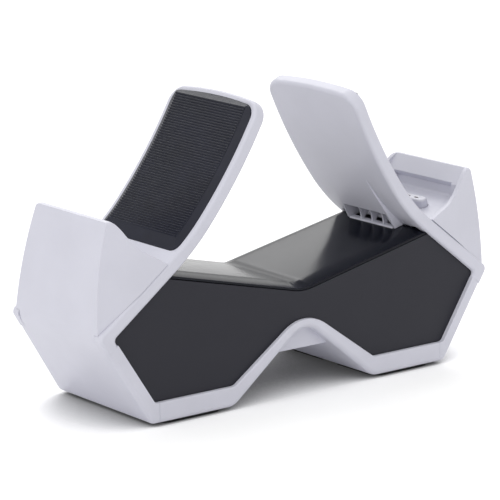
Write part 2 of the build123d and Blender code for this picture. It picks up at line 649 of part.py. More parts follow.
# Pads: soft plates with bevelled sides and fine ribs across them
pad_under = 0.7          # the pad's underside, below the plate's outer side
pad_edge = 0.15          # height of its thin border
pad_out = low_r - band_w
pad_top = turn_end + degrees(pad_rim / (high_r - band_w))
pad_head = 2.4           # length of the bevel at its upper end
rib_low = pad_low - degrees(pad_bottom / pad_out)
rib_high = pad_top + degrees(pad_head / (high_r - band_w))
rib_len_low = radians(rib_low - turn_1) * pad_out
rib_len = rib_len_low + radians(turn_1 - rib_high) * (high_r - band_w)


def rib_turn(d):
    """Angle of the backrest's curve at a distance up the ribbed face."""
    if d < rib_len_low:
        return rib_low - degrees(d / pad_out)
    return turn_1 - degrees((d - rib_len_low) / (high_r - band_w))


rib_points = []
for i in range(rib_count):
    rib_points.append(rest_at(rib_turn(rib_len * i / rib_count), band_w + pad_rise))
    rib_points.append(rest_at(rib_turn(rib_len * (i + 0.5) / rib_count), band_w + pad_rise + rib_rise))
rib_points.append(rest_at(rib_turn(rib_len), band_w + pad_rise))
rib_under = [rest_at(rib_turn(rib_len * i / 12), band_w + pad_rise - 1) for i in range(12, -1, -1)]

with BuildPart() as backrest_pad_right:
    with BuildLine(Plane.XZ) as pad_path:
        pad_turn = pad_low + 1
        pad_u = (-sin(radians(pad_turn)), cos(radians(pad_turn)))
        pad_1 = JernArc(rest_at(pad_turn, band_w), pad_u, pad_out, turn_1 - pad_turn)
        pad_2 = JernArc(pad_1 @ 1, pad_1 % 1, high_r - band_w, turn_end - turn_1)
    with BuildSketch(Plane(origin=pad_path.line @ 0, x_dir=(0, -1, 0), z_dir=pad_path.line % 0)):
        Polygon((-pad_half, -pad_under), (pad_half, -pad_under), (pad_half, pad_edge), (rib_half, pad_rise),
                (-rib_half, pad_rise), (-pad_half, pad_edge), align=None)
    sweep(path=pad_path.line)
    bevel_a = rest_at(pad_low, band_w + pad_edge)
    bevel_b = rest_at(rib_low, band_w + pad_rise)
    bevel_c = rest_at(rib_high, band_w + pad_rise)
    bevel_d = rest_at(pad_top, band_w + pad_edge)
    with BuildSketch(Plane.XZ):
        Polygon(bevel_a, bevel_b, rest_at(rib_low, band_w + 9), rest_at(pad_low + 4, band_w + 9),
                rest_at(pad_low + 4, band_w - 0.2), align=None)
        Polygon(bevel_c, bevel_d, rest_at(turn_end - 1, band_w - 0.2), rest_at(turn_end - 1, band_w + 9),
                rest_at(rib_high, band_w + 9), align=None)
    extrude(amount=50, both=True, mode=Mode.SUBTRACT)
    with BuildSketch(Plane.XZ):
        Polygon(*rib_points, *rib_under, align=None)
    extrude(amount=rib_half, both=True)
    add(pad_outline.part, mode=Mode.INTERSECT)
backrest_pad_right.part.label = "backrest_pad_right"
export_step(backrest_pad_right.part, "parts/backrest_pad_right.step")

# Top cover: a shallow V with bevelled borders, its ends cut to the shoulder's slope
panel_set = side_t + 0.1     # from the rim's face back to the panels

with BuildPart() as top_cover:
    with BuildLine(Plane.XZ) as cover_path:
        cover_x = root_x + 20
        FilletPolyline((-cover_x, cover_at(cover_x)), (0, cover_z), (cover_x, cover_at(cover_x)),
                       radius=cover_r)
    with BuildSketch(Plane(origin=cover_path.line @ 0, x_dir=(0, 1, 0), z_dir=cover_path.line % 0)):
        cover_half = face_half - panel_set - face_lean * cover_z
        cover_k = cover_drop / (cover_half - cover_flat)
        cover_edge = cover_drop + cover_k * 2
        Polygon((-cover_half - 2, -cover_t), (cover_half + 2, -cover_t), (cover_half + 2, -cover_edge),
                (cover_flat, 0), (-cover_flat, 0), (-cover_half - 2, -cover_edge), align=None)
    sweep(path=cover_path.line)
    with BuildSketch(Plane.YZ):
        Polygon(*lean_points(face_half - panel_set, face_lean, ground, sky), align=None)
    extrude(amount=reach, both=True, mode=Mode.INTERSECT)
    with BuildSketch(Plane.XZ):
        for side in (-1, 1):
            end_cut = [band_at(root_x - 20, -fit_gap), band_at(root_x + 20, -fit_gap), (reach, arch_z),
                       (reach, sky), (root_x - 20, sky)]
            Polygon(*[(side * x, z) for x, z in end_cut], align=None)
    extrude(amount=wide, both=True, mode=Mode.SUBTRACT)
    slot_x = mouth_x + vent_lip_d - 0.4
    with BuildSketch(Plane.XY):
        for side in (-1, 1):
            with Locations((side * slot_x, 0)):
                Rectangle(cover_x - slot_x, 2 * vent_lip_half - 1,
                          align=(Align.MIN if side > 0 else Align.MAX, Align.CENTER))
    extrude(amount=sky, mode=Mode.SUBTRACT)
top_cover.part.label = "top_cover"
export_step(top_cover.part, "parts/top_cover.step")

# Panels: flat plates behind the rim
socket_x = board_x
socket_z = 18.0
collar_w = 12.6          # collar of the power inlet, in the rear panel
collar_h = 7.0
under_cover = (cover_t + panel_gap) * sqrt(1 + cover_slope ** 2)
sill_in = sill_z - panel_lap
arch_in = arch_z - panel_lap * sqrt(1 + open_k ** 2)
panel_x = (shoulder_z + shoulder_x * tan_band + panel_lap / band_n[1] - cover_z + under_cover)
panel_x = panel_x / (cover_slope + tan_band)
panel_right = [(panel_x, cover_at(panel_x) - under_cover), corner(panel_lap), slope_at(sill_in, panel_lap),
               ((arch_in - sill_in) / open_k, sill_in)]
panel_left = [(-x, z) for x, z in reversed(panel_right)]

with BuildPart() as front_panel:
    with BuildSketch(Plane.XZ) as panel_s:
        Polygon((0, cover_z - under_cover), *panel_right, (0, arch_in), *panel_left, align=None)
        fillet(panel_s.vertices().sort_by_distance((0, arch_in))[0], arch_r - panel_lap)
        fillet(panel_s.vertices().sort_by_distance((0, cover_z - under_cover))[0],
               cover_r + cover_t + panel_gap)
    extrude(amount=wide, both=True)
    with BuildSketch(Plane.YZ):
        Polygon(*lean_points(face_half - panel_set, face_lean, ground, sky), align=None)
    extrude(amount=reach, both=True, mode=Mode.INTERSECT)
    with BuildSketch(Plane.YZ):
        inner = lean_points(face_half - panel_set - panel_t, face_lean, ground, sky)
        Polygon(inner[0], (wide, ground), (wide, sky), inner[3], align=None)
    extrude(amount=reach, both=True, mode=Mode.SUBTRACT)
front_panel.part.label = "front_panel"
export_step(front_panel.part, "parts/front_panel.step")

with BuildPart() as rear_panel:
    add(mirror(front_panel.part, about=Plane.XZ))
    with BuildSketch(Plane.XZ):
        with Locations((socket_x, socket_z)):
            SlotOverall(collar_w + 0.6, collar_h + 0.6)
    extrude(amount=-wide, mode=Mode.SUBTRACT)
rear_panel.part.label = "rear_panel"
export_step(rear_panel.part, "parts/rear_panel.step")

# Charging posts: stadium blocks through the pocket floor, held by a flange under it
flange_h = 1.2
slit_w = 1.0
slit_l = 2.8
slit_at = (-8.4, -2.8, 2.8, 8.4)

with BuildPart() as charge_post_right:
    with BuildSketch(post_plane.offset(-side_t)):
        SlotOverall(post_l, post_w)
    extrude(amount=side_t + post_h)
    fillet(charge_post_right.faces().sort_by(Axis.Z)[-1].edges(), 1.2)
    with BuildSketch(post_plane.offset(-side_t)):
        SlotOverall(post_l + 5, post_w + 5)
    extrude(amount=-flange_h)
    with BuildSketch(post_plane):
        with Locations(*[(y, 0) for y in slit_at]):
            Rectangle(slit_l, slit_w)
    extrude(amount=20, both=True, mode=Mode.SUBTRACT)
charge_post_right.part.label = "charge_post_right"
export_step(charge_post_right.part, "parts/charge_post_right.step")

with BuildPart() as contacts_right:
    with BuildSketch(post_plane.offset(-side_t - flange_h)):
        with Locations(*[(y, 0) for y in slit_at]):
            Rectangle(slit_l - 0.3, slit_w - 0.3)
    extrude(amount=side_t + flange_h + post_h - 0.5)
contacts_right.part.label = "contacts_right"
export_step(contacts_right.part, "parts/contacts_right.step")

with BuildPart() as contact_board_right:
    with BuildSketch(post_plane.offset(-side_t - flange_h)):
        Rectangle(post_l + 9, post_w + 6)
    extrude(amount=-board_t)
contact_board_right.part.label = "contact_board_right"
export_step(contact_board_right.part, "parts/contact_board_right.step")

# Main board on its pillars, with the power inlet at its rear edge
with BuildPart() as main_board:
    with BuildSketch(Plane.XY.offset(board_z)):
        with Locations((board_x, 0)):
            Rectangle(board_l, board_d)
        with Locations(*pillars):
            Circle(1.3, mode=Mode.SUBTRACT)
    extrude(amount=board_t)
main_board.part.label = "main_board"
export_step(main_board.part, "parts/main_board.step")

socket_h = 4.6           # from the middle of the inlet to the top of its housing
inlet_w = 9.1
inlet_h = 3.3
socket_front = face_half - face_lean * socket_z - panel_set - panel_t - 0.6
socket_mouth = face_half - face_lean * socket_z - panel_set + 0.5

with BuildPart() as power_socket:
    with BuildSketch(Plane.XY.offset(board_z + board_t)):
        with Locations((socket_x, socket_front)):
            Rectangle(socket_w, 14, align=(Align.CENTER, Align.MAX))
    extrude(amount=socket_z - board_z - board_t + socket_h)
    with BuildSketch(Plane.XZ.offset(-socket_front)):
        with Locations((socket_x, socket_z)):
            SlotOverall(collar_w, collar_h)
    extrude(amount=socket_front - socket_mouth)
    with BuildSketch(Plane.XZ.offset(-socket_mouth)):
        with Locations((socket_x, socket_z)):
            SlotOverall(inlet_w, inlet_h)
            Rectangle(6.7, 0.8, mode=Mode.SUBTRACT)
    extrude(amount=8, mode=Mode.SUBTRACT)
power_socket.part.label = "power_socket"
export_step(power_socket.part, "parts/power_socket.step")

# Leads from the main board to the two contact boards
lead_r = 1.1
lead_y = 9.0
lead_top = floor_at(post_x, -side_t - flange_h - board_t) - 0.5
lead_z0 = board_z + board_t

with BuildPart() as lead_right:
    with BuildLine(Plane.XZ.offset(lead_y)) as lead_right_path:
        lead_1 = Line((board_x + 6, lead_z0), (board_x + 6, 34))
        lead_2 = JernArc(lead_1 @ 1, lead_1 % 1, 10, -45)
        lead_3 = Line(lead_2 @ 1, along(((lead_2 @ 1).X, (lead_2 @ 1).Z), (1, 1),
                                        post_x - 10 * (1 - cos(radians(45))) - (lead_2 @ 1).X))
        lead_4 = JernArc(lead_3 @ 1, lead_3 % 1, 10, 45)
        Line(lead_4 @ 1, (post_x, lead_top))
    with BuildSketch(Plane(origin=lead_right_path.line @ 0, z_dir=lead_right_path.line % 0)):
        Circle(lead_r)
    sweep(path=lead_right_path.line)
lead_right.part.label = "lead_right"
export_step(lead_right.part, "parts/lead_right.step")

lead_bend = 12.0
lead_over = crown_out + wall_t + 7

with BuildPart() as lead_left:
    with BuildLine(Plane.XZ.offset(lead_y)) as lead_left_path:
        lead_5 = Line((board_x - 6, lead_z0), (board_x - 6, lead_over - lead_bend))
        lead_6 = JernArc(lead_5 @ 1, lead_5 % 1, lead_bend, 90)
        lead_7 = Line(lead_6 @ 1, (lead_bend - post_x, lead_over))
        lead_8 = JernArc(lead_7 @ 1, lead_7 % 1, lead_bend, -90)
        Line(lead_8 @ 1, (-post_x, lead_top))
    with BuildSketch(Plane(origin=lead_left_path.line @ 0, z_dir=lead_left_path.line % 0)):
        Circle(lead_r)
    sweep(path=lead_left_path.line)
lead_left.part.label = "lead_left"
export_step(lead_left.part, "parts/lead_left.step")

# Feet and fasteners
with BuildPart() as foot_right:
    with BuildSketch(Plane.XY) as foot_s:
        Polygon(*foot_points, align=None)
        fillet(foot_s.vertices().filter_by(lambda v: abs(v.Y) > foot_half - 1), foot_r)
    extrude(amount=foot_t)
foot_right.part.label = "foot_right"
export_step(foot_right.part, "parts/foot_right.step")

with BuildPart() as base_screws:
    with BuildSketch(Plane.XY.offset(foot_t + 0.05)):
        with Locations(*base_screws_at):
            Circle(head_r)
    extrude(amount=rim_z + 1.4 - foot_t - 0.05)
    with BuildSketch(Plane.XY.offset(rim_z + 1.4)):
        with Locations(*base_screws_at):
            Circle(screw_r)
    extrude(amount=boss_z - 3 - rim_z)
base_screws.part.label = "base_screws"
export_step(base_screws.part, "parts/base_screws.step")

with BuildPart() as board_screws:
    with BuildSketch(Plane.XY.offset(board_z + board_t)):
        with Locations(*pillars):
            Circle(pillar_head)
    extrude(amount=1.3)
    with BuildSketch(Plane.XY.offset(board_z + board_t)):
        with Locations(*pillars):
            Circle(pillar_hole - 0.05)
    extrude(amount=-6)
board_screws.part.label = "board_screws"
export_step(board_screws.part, "parts/board_screws.step")

# Left half: the same pieces mirrored
with BuildPart() as end_shell_left:
    add(mirror(end_shell_right.part, about=Plane.YZ))
end_shell_left.part.label = "end_shell_left"
export_step(end_shell_left.part, "parts/end_shell_left.step")

with BuildPart() as backrest_left:
    add(mirror(backrest_right.part, about=Plane.YZ))
backrest_left.part.label = "backrest_left"
export_step(backrest_left.part, "parts/backrest_left.step")

with BuildPart() as backrest_pad_left:
    add(mirror(backrest_pad_right.part, about=Plane.YZ))
backrest_pad_left.part.label = "backrest_pad_left"
export_step(backrest_pad_left.part, "parts/backrest_pad_left.step")

with BuildPart() as vent_grille_left:
    add(mirror(vent_grille_right.part, about=Plane.YZ))
vent_grille_left.part.label = "vent_grille_left"
export_step(vent_grille_left.part, "parts/vent_grille_left.step")

with BuildPart() as charge_post_left:
    add(mirror(charge_post_right.part, about=Plane.YZ))
charge_post_left.part.label = "charge_post_left"
export_step(charge_post_left.part, "parts/charge_post_left.step")

with BuildPart() as contacts_left:
    add(mirror(contacts_right.part, about=Plane.YZ))
contacts_left.part.label = "contacts_left"
export_step(contacts_left.part, "parts/contacts_left.step")

with BuildPart() as contact_board_left:
    add(mirror(contact_board_right.part, about=Plane.YZ))
contact_board_left.part.label = "contact_board_left"
export_step(contact_board_left.part, "parts/contact_board_left.step")

with BuildPart() as foot_left:
    add(mirror(foot_right.part, about=Plane.YZ))
foot_left.part.label = "foot_left"
export_step(foot_left.part, "parts/foot_left.step")
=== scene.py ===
"""Looks of a charging dock for two game controllers, laid out as an add-on and run as a script."""

import math

import bpy
from mathutils import Matrix, Vector


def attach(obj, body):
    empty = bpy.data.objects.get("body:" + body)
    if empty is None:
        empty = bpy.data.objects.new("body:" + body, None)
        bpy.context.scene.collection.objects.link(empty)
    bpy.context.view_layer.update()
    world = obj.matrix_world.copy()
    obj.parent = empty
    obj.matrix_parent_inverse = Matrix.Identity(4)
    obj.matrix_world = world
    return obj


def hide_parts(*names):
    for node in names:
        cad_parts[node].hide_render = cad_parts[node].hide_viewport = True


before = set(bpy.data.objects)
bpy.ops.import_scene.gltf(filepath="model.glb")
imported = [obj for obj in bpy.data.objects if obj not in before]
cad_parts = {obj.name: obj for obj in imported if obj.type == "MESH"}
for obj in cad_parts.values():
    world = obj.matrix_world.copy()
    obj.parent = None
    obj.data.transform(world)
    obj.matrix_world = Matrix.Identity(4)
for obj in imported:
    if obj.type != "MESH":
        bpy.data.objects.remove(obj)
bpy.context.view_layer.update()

bl_info = {
    "name": "Controller Charging Dock",
    "version": (1, 0, 0),
    "blender": (4, 5, 0),
    "location": "View3D > Sidebar > Dock",
    "description": "Dresses the dock's solids with moulded edges, plastics, rubber and a pale studio",
    "category": "Object",
}

# Joining of the solids' triangles and shading of the pieces
WELD_GAP = 2e-6
FLAT_ANGLE = math.radians(0.6)
SMOOTH_ANGLE = math.radians(40)
FACE_WEIGHT = 60

# Softboxes: the studio value with the strength, the side that the light comes from, and its width
SOFTBOXES = (
    ("key", (0.45, 0.6, 0.75), math.radians(45)),
    ("fill", (-0.80, -0.25, 0.60), math.radians(32)),
    ("top", (-0.35, -0.3, 1.0), math.radians(70)),
)

# Floor, the contact shadow painted into its colour, the white backdrop and the camera's frame
FLOOR_SIZE = 12
SHADOW_RAYS = 16
SHADOW_DARK = (0.16, 0.16, 0.16)
SHADOW_START = 0.1
SHADOW_END = 0.62
WHITE = (1, 1, 1)
BACKDROP = 1.0
SENSOR_WIDTH = 36.0


class DockFinish(bpy.types.PropertyGroup):
    """Colours of the dock's mouldings."""
    shell: bpy.props.FloatVectorProperty(
        name="Shell", description="White satin plastic of the frame, ends and backrests",
        subtype="COLOR", size=3, min=0, max=1, default=(0.64, 0.64, 0.72))
    panel: bpy.props.FloatVectorProperty(
        name="Panels", description="Dark satin plastic of the inset panels",
        subtype="COLOR", size=3, min=0, max=1, default=(0.022, 0.022, 0.030))
    cover: bpy.props.FloatVectorProperty(
        name="Cover", description="Black plastic of the top cover",
        subtype="COLOR", size=3, min=0, max=1, default=(0.006, 0.007, 0.012))
    pad: bpy.props.FloatVectorProperty(
        name="Pads", description="Black ribbed rubber of the backrests",
        subtype="COLOR", size=3, min=0, max=1, default=(0.008, 0.009, 0.018))
    rubber: bpy.props.FloatVectorProperty(
        name="Feet", description="Black rubber of the feet",
        subtype="COLOR", size=3, min=0, max=1, default=(0.012, 0.012, 0.013))
    gilt: bpy.props.FloatVectorProperty(
        name="Contacts", description="Plating of the charging contacts",
        subtype="COLOR", size=3, min=0, max=1, default=(0.70, 0.56, 0.32))
    board: bpy.props.FloatVectorProperty(
        name="Boards", description="Lacquer of the circuit boards",
        subtype="COLOR", size=3, min=0, max=1, default=(0.02, 0.13, 0.06))
    steel: bpy.props.FloatVectorProperty(
        name="Screws", description="Plated steel of the screws",
        subtype="COLOR", size=3, min=0, max=1, default=(0.55, 0.55, 0.57))


class DockEdges(bpy.types.PropertyGroup):
    """Widths of the small edge roundings that every moulding has."""
    shell: bpy.props.FloatProperty(
        name="Shell edges", description="Rounding of the white mouldings' sharp edges",
        unit="LENGTH", min=0, default=0.0006)
    panel: bpy.props.FloatProperty(
        name="Panel edges", description="Rounding of the panels' and the cover's edges",
        unit="LENGTH", min=0, default=0.0004)
    pad: bpy.props.FloatProperty(
        name="Rib edges", description="Rounding of the pads' ribs and bevels",
        unit="LENGTH", min=0, default=0.00012)
    small: bpy.props.FloatProperty(
        name="Small parts", description="Rounding of contacts, boards and fasteners",
        unit="LENGTH", min=0, default=0.00012)
    foot: bpy.props.FloatProperty(
        name="Foot edges", description="Rounding of the rubber feet",
        unit="LENGTH", min=0, default=0.0003)
    crease: bpy.props.FloatProperty(
        name="Crease angle", description="Edges sharper than this are rounded",
        subtype="ANGLE", min=0, default=math.radians(28))


class DockStudio(bpy.types.PropertyGroup):
    """Camera, lamps and floor."""
    azimuth: bpy.props.FloatProperty(
        name="Azimuth", description="Camera direction round the dock", subtype="ANGLE",
        default=math.radians(-42.11))
    elevation: bpy.props.FloatProperty(
        name="Elevation", description="Camera height over the horizon", subtype="ANGLE",
        default=math.radians(13.0))
    roll: bpy.props.FloatProperty(
        name="Roll", description="Turn of the camera about its view", subtype="ANGLE",
        default=math.radians(1.934))
    distance: bpy.props.FloatProperty(
        name="Distance", description="Camera to the point it looks at", unit="LENGTH", default=1.2057)
    lens: bpy.props.FloatProperty(
        name="Lens", description="Focal length on a 36 mm frame", default=178.55)
    side: bpy.props.FloatProperty(
        name="Aim aside", description="Point looked at, to the right of the dock's middle", unit="LENGTH",
        default=-0.00564)
    height: bpy.props.FloatProperty(
        name="Aim height", description="Height of the point looked at", unit="LENGTH", default=0.06428)
    key: bpy.props.FloatProperty(
        name="Key", description="Strength of the broad light over the back right", default=1.0)
    fill: bpy.props.FloatProperty(
        name="Fill", description="Strength of the softbox at the left", default=0.44)
    top: bpy.props.FloatProperty(
        name="Top", description="Strength of the wide light overhead", default=0.45)
    room: bpy.props.FloatProperty(
        name="Room", description="Strength of the light from all round", default=0.68)
    glow: bpy.props.FloatProperty(
        name="Floor glow", description="White added to the floor as the camera sees it", default=0.18)
    reach: bpy.props.FloatProperty(
        name="Shadow reach", description="How far round the dock its contact shadow darkens the floor",
        unit="LENGTH", min=0, default=0.06)
    floor: bpy.props.FloatVectorProperty(
        name="Floor", description="Pale floor", subtype="COLOR", size=3, min=0, max=1,
        default=(0.93, 0.93, 0.93))


def deselect():
    """Nothing selected, nothing in edit mode."""
    if bpy.context.object and bpy.context.object.mode != "OBJECT":
        bpy.ops.object.mode_set(mode="OBJECT")
    bpy.ops.object.select_all(action="DESELECT")


def moulded(node, name, width, segments=2):
    """A copy of a solid with its triangles joined, its sharp edges rounded and its faces shaded smooth."""
    crease = bpy.context.scene.dock_edges.crease
    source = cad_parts[node]
    deselect()
    source.select_set(True)
    bpy.context.view_layer.objects.active = source
    bpy.ops.object.duplicate(linked=False)
    piece = bpy.context.active_object
    piece.name = name
    piece.data.name = name
    for key in [k for k in piece.keys() if k.startswith("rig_")]:
        del piece[key]
    piece.parent = None
    bpy.ops.object.mode_set(mode="EDIT")
    bpy.ops.mesh.select_all(action="SELECT")
    bpy.ops.mesh.customdata_custom_splitnormals_clear()
    bpy.ops.mesh.remove_doubles(threshold=WELD_GAP)
    bpy.ops.mesh.dissolve_limited(angle_limit=FLAT_ANGLE)
    bpy.ops.mesh.select_all(action="DESELECT")
    bpy.ops.object.mode_set(mode="OBJECT")
    if width > 0:
        edge = piece.modifiers.new("moulded_edge", "BEVEL")
        edge.width = width
        edge.segments = segments
        edge.limit_method = "ANGLE"
        edge.angle_limit = crease
        edge.use_clamp_overlap = True
        edge.miter_outer = "MITER_ARC"
        bpy.ops.object.modifier_apply(modifier=edge.name)
    bpy.ops.object.shade_smooth_by_angle(angle=SMOOTH_ANGLE)
    even = piece.modifiers.new("even_faces", "WEIGHTED_NORMAL")
    even.keep_sharp = True
    even.weight = FACE_WEIGHT
    bpy.ops.object.modifier_apply(modifier=even.name)
    return piece


def dress(piece, material, node):
    """Gives a finished piece its material and the body it rides on, and hides the solid it stands for."""
    piece.data.materials.clear()
    piece.data.materials.append(material)
    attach(piece, "root")
    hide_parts(node)
    return piece


def make(node, ending, width, material, segments=2):
    """A finished piece from one solid, named after it."""
    return dress(moulded(node, node + ending, width, segments), material, node)


def seen_rays(nodes, links):
    """1 for rays from the camera, mirror rays and rays through glass."""
    rays = nodes.new("ShaderNodeLightPath")
    seen = rays.outputs["Is Camera Ray"]
    for kind in ("Is Glossy Ray", "Is Transmission Ray"):
        either = nodes.new("ShaderNodeMath")
        either.operation = "MAXIMUM"
        links.new(seen, either.inputs[0])
        links.new(rays.outputs[kind], either.inputs[1])
        seen = either.outputs["Value"]
    return seen


class Tree:
    """A material's nodes, laid out as they are added."""

    def __init__(self, name):
        self.material = bpy.data.materials.new(name)
        self.material.use_nodes = True
        self.nodes = self.material.node_tree.nodes
        self.links = self.material.node_tree.links
        self.nodes.clear()
        self.out = self.add("ShaderNodeOutputMaterial")
        self.shader = self.add("ShaderNodeBsdfPrincipled")
        self.link(self.shader.outputs["BSDF"], self.out.inputs["Surface"])
        self.place = self.add("ShaderNodeTexCoord").outputs["Object"]

    def add(self, kind):
        """A new node, to the left of the last one."""
        node = self.nodes.new(kind)
        node.location = (-220 * len(self.nodes), 0)
        return node

    def link(self, source, target):
        """Joins an output to an input."""
        self.links.new(source, target)

    def noise(self, scale, detail=3.0, rough=0.5):
        """Cloudy noise on the piece's own coordinates."""
        node = self.add("ShaderNodeTexNoise")
        node.inputs["Scale"].default_value = scale
        node.inputs["Detail"].default_value = detail
        node.inputs["Roughness"].default_value = rough
        self.link(self.place, node.inputs["Vector"])
        return node.outputs["Fac"]

    def ramp(self, value, low, high, stops):
        """Colours or greys between two levels of a value."""
        node = self.add("ShaderNodeValToRGB")
        node.color_ramp.elements[0].position = low
        node.color_ramp.elements[1].position = high
        for element, colour in zip(node.color_ramp.elements, stops):
            element.color = (*colour, 1)
        self.link(value, node.inputs["Fac"])
        return node.outputs["Color"]

    def span(self, value, low, high):
        """A value from 0 to 1 spread between two limits."""
        node = self.add("ShaderNodeMapRange")
        node.inputs["To Min"].default_value = low
        node.inputs["To Max"].default_value = high
        self.link(value, node.inputs["Value"])
        return node.outputs["Result"]

    def bump(self, height, strength, depth, below=None):
        """A relief from a height, on top of another relief where there is one."""
        node = self.add("ShaderNodeBump")
        node.inputs["Strength"].default_value = strength
        node.inputs["Distance"].default_value = depth
        self.link(height, node.inputs["Height"])
        if below is not None:
            self.link(below, node.inputs["Normal"])
        return node.outputs["Normal"]

    def set(self, **values):
        """Constants on the shader's own sockets."""
        for socket, value in values.items():
            self.shader.inputs[socket.replace("_", " ")].default_value = value


def shade(colour, k):
    """A colour made lighter or darker."""
    return tuple(min(1.0, c * k) for c in colour)


def plastic(name, colour, rough, spread, grain, depth, gloss=0.5):
    """Moulded plastic: faint clouding, an eroded grain and an uneven sheen."""
    tree = Tree(name)
    clouding = tree.noise(scale=38, detail=4)
    cloud = tree.ramp(clouding, low=0.3, high=0.7, stops=(shade(colour, 0.965), shade(colour, 1.025)))
    tree.link(cloud, tree.shader.inputs["Base Color"])
    sheen = tree.noise(scale=120, detail=5, rough=0.6)
    tree.link(tree.span(sheen, rough - spread, rough + spread), tree.shader.inputs["Roughness"])
    fine = tree.bump(tree.noise(grain, detail=2, rough=0.7), strength=0.35, depth=depth)
    wavy = tree.bump(tree.noise(scale=24, detail=1), strength=0.12, depth=0.0004, below=fine)
    tree.link(wavy, tree.shader.inputs["Normal"])
    tree.set(Specular_IOR_Level=gloss)
    return tree.material


def rubber(name, colour, rough, grain, gloss=0.2):
    """Soft rubber: dull, with pores and a dusty bloom on some of it."""
    tree = Tree(name)
    dust = tree.noise(scale=55, detail=5, rough=0.6)
    bloom = tree.ramp(dust, low=0.35, high=0.75, stops=(colour, shade(colour, 1.5)))
    tree.link(bloom, tree.shader.inputs["Base Color"])
    sheen = tree.noise(scale=300, detail=4)
    tree.link(tree.span(sheen, rough - 0.08, rough + 0.08), tree.shader.inputs["Roughness"])
    pores = tree.bump(tree.noise(grain, detail=3, rough=0.8), strength=0.5, depth=0.00006)
    tree.link(pores, tree.shader.inputs["Normal"])
    tree.set(Specular_IOR_Level=gloss)
    return tree.material


def metal(name, colour, rough, scale):
    """Plated metal with fine drawn streaks."""
    tree = Tree(name)
    streak = tree.noise(scale, detail=3, rough=0.7)
    plating = tree.ramp(streak, low=0.3, high=0.7, stops=(shade(colour, 0.85), colour))
    tree.link(plating, tree.shader.inputs["Base Color"])
    tree.link(tree.span(streak, rough - 0.06, rough + 0.08), tree.shader.inputs["Roughness"])
    tree.link(tree.bump(streak, strength=0.15, depth=0.00002), tree.shader.inputs["Normal"])
    tree.set(Metallic=1.0)
    return tree.material


class OBJECT_OT_dock_shell(bpy.types.Operator):
    """White frame, ends and backrests"""
    bl_idname = "object.dock_shell"
    bl_label = "White mouldings"

    def execute(self, context):
        width = context.scene.dock_edges.shell
        white = plastic("white_satin_plastic", context.scene.dock_finish.shell,
                        rough=0.42, spread=0.06, grain=5200, depth=0.00003)
        for node in ("bottom_frame", "end_shell_left", "end_shell_right", "backrest_left", "backrest_right",
                     "vent_grille_left", "vent_grille_right"):
            make(node, "_moulding", width, white)
        return {"FINISHED"}


class OBJECT_OT_dock_panels(bpy.types.Operator):
    """Dark inset panels and the cover between the backrests"""
    bl_idname = "object.dock_panels"
    bl_label = "Panels and cover"

    def execute(self, context):
        width = context.scene.dock_edges.panel
        dark = plastic("dark_satin_plastic", context.scene.dock_finish.panel,
                       rough=0.46, spread=0.05, grain=4200, depth=0.00004, gloss=0.2)
        black = plastic("black_cover_plastic", context.scene.dock_finish.cover,
                        rough=0.19, spread=0.03, grain=3600, depth=0.00002, gloss=0.14)
        for node in ("front_panel", "rear_panel"):
            make(node, "_plate", width, dark)
        make("top_cover", "_plate", width, black, segments=3)
        return {"FINISHED"}


class OBJECT_OT_dock_pads(bpy.types.Operator):
    """Ribbed rubber pads of the backrests"""
    bl_idname = "object.dock_pads"
    bl_label = "Backrest pads"

    def execute(self, context):
        width = context.scene.dock_edges.pad
        soft = rubber("ribbed_rubber", context.scene.dock_finish.pad, rough=0.36, grain=2600, gloss=0.22)
        for node in ("backrest_pad_left", "backrest_pad_right"):
            make(node, "_ribs", width, soft)
        return {"FINISHED"}


class OBJECT_OT_dock_charging(bpy.types.Operator):
    """Charging posts, contacts, boards, leads and the power inlet"""
    bl_idname = "object.dock_charging"
    bl_label = "Charging parts"

    def execute(self, context):
        finish = context.scene.dock_finish
        small = context.scene.dock_edges.small
        post = plastic("post_plastic", shade(finish.shell, 0.92),
                       rough=0.4, spread=0.05, grain=5200, depth=0.00003)
        gilt = metal("gilt_contact", finish.gilt, rough=0.24, scale=900)
        board = plastic("board_lacquer", finish.board, rough=0.3, spread=0.06, grain=1500, depth=0.00002)
        black = plastic("socket_plastic", finish.rubber, rough=0.4, spread=0.05, grain=3600, depth=0.00003)
        sheath = rubber("lead_sheath", finish.rubber, rough=0.55, grain=2200)
        for side in ("_left", "_right"):
            make("charge_post" + side, "_block", small, post)
            make("contacts" + side, "_blades", small, gilt)
            make("contact_board" + side, "_plate", small, board)
            make("lead" + side, "_strand", 0, sheath)
        make("main_board", "_plate", small, board)
        make("power_socket", "_housing", small, black)
        return {"FINISHED"}


class OBJECT_OT_dock_feet(bpy.types.Operator):
    """Rubber feet and the screws above them"""
    bl_idname = "object.dock_feet"
    bl_label = "Feet and screws"

    def execute(self, context):
        finish = context.scene.dock_finish
        edges = context.scene.dock_edges
        soft = rubber("foot_rubber", finish.rubber, rough=0.7, grain=2000)
        steel = metal("screw_steel", finish.steel, rough=0.32, scale=1200)
        for node in ("foot_left", "foot_right"):
            make(node, "_pad", edges.foot, soft)
        for node in ("base_screws", "board_screws"):
            make(node, "_heads", edges.small, steel)
        return {"FINISHED"}


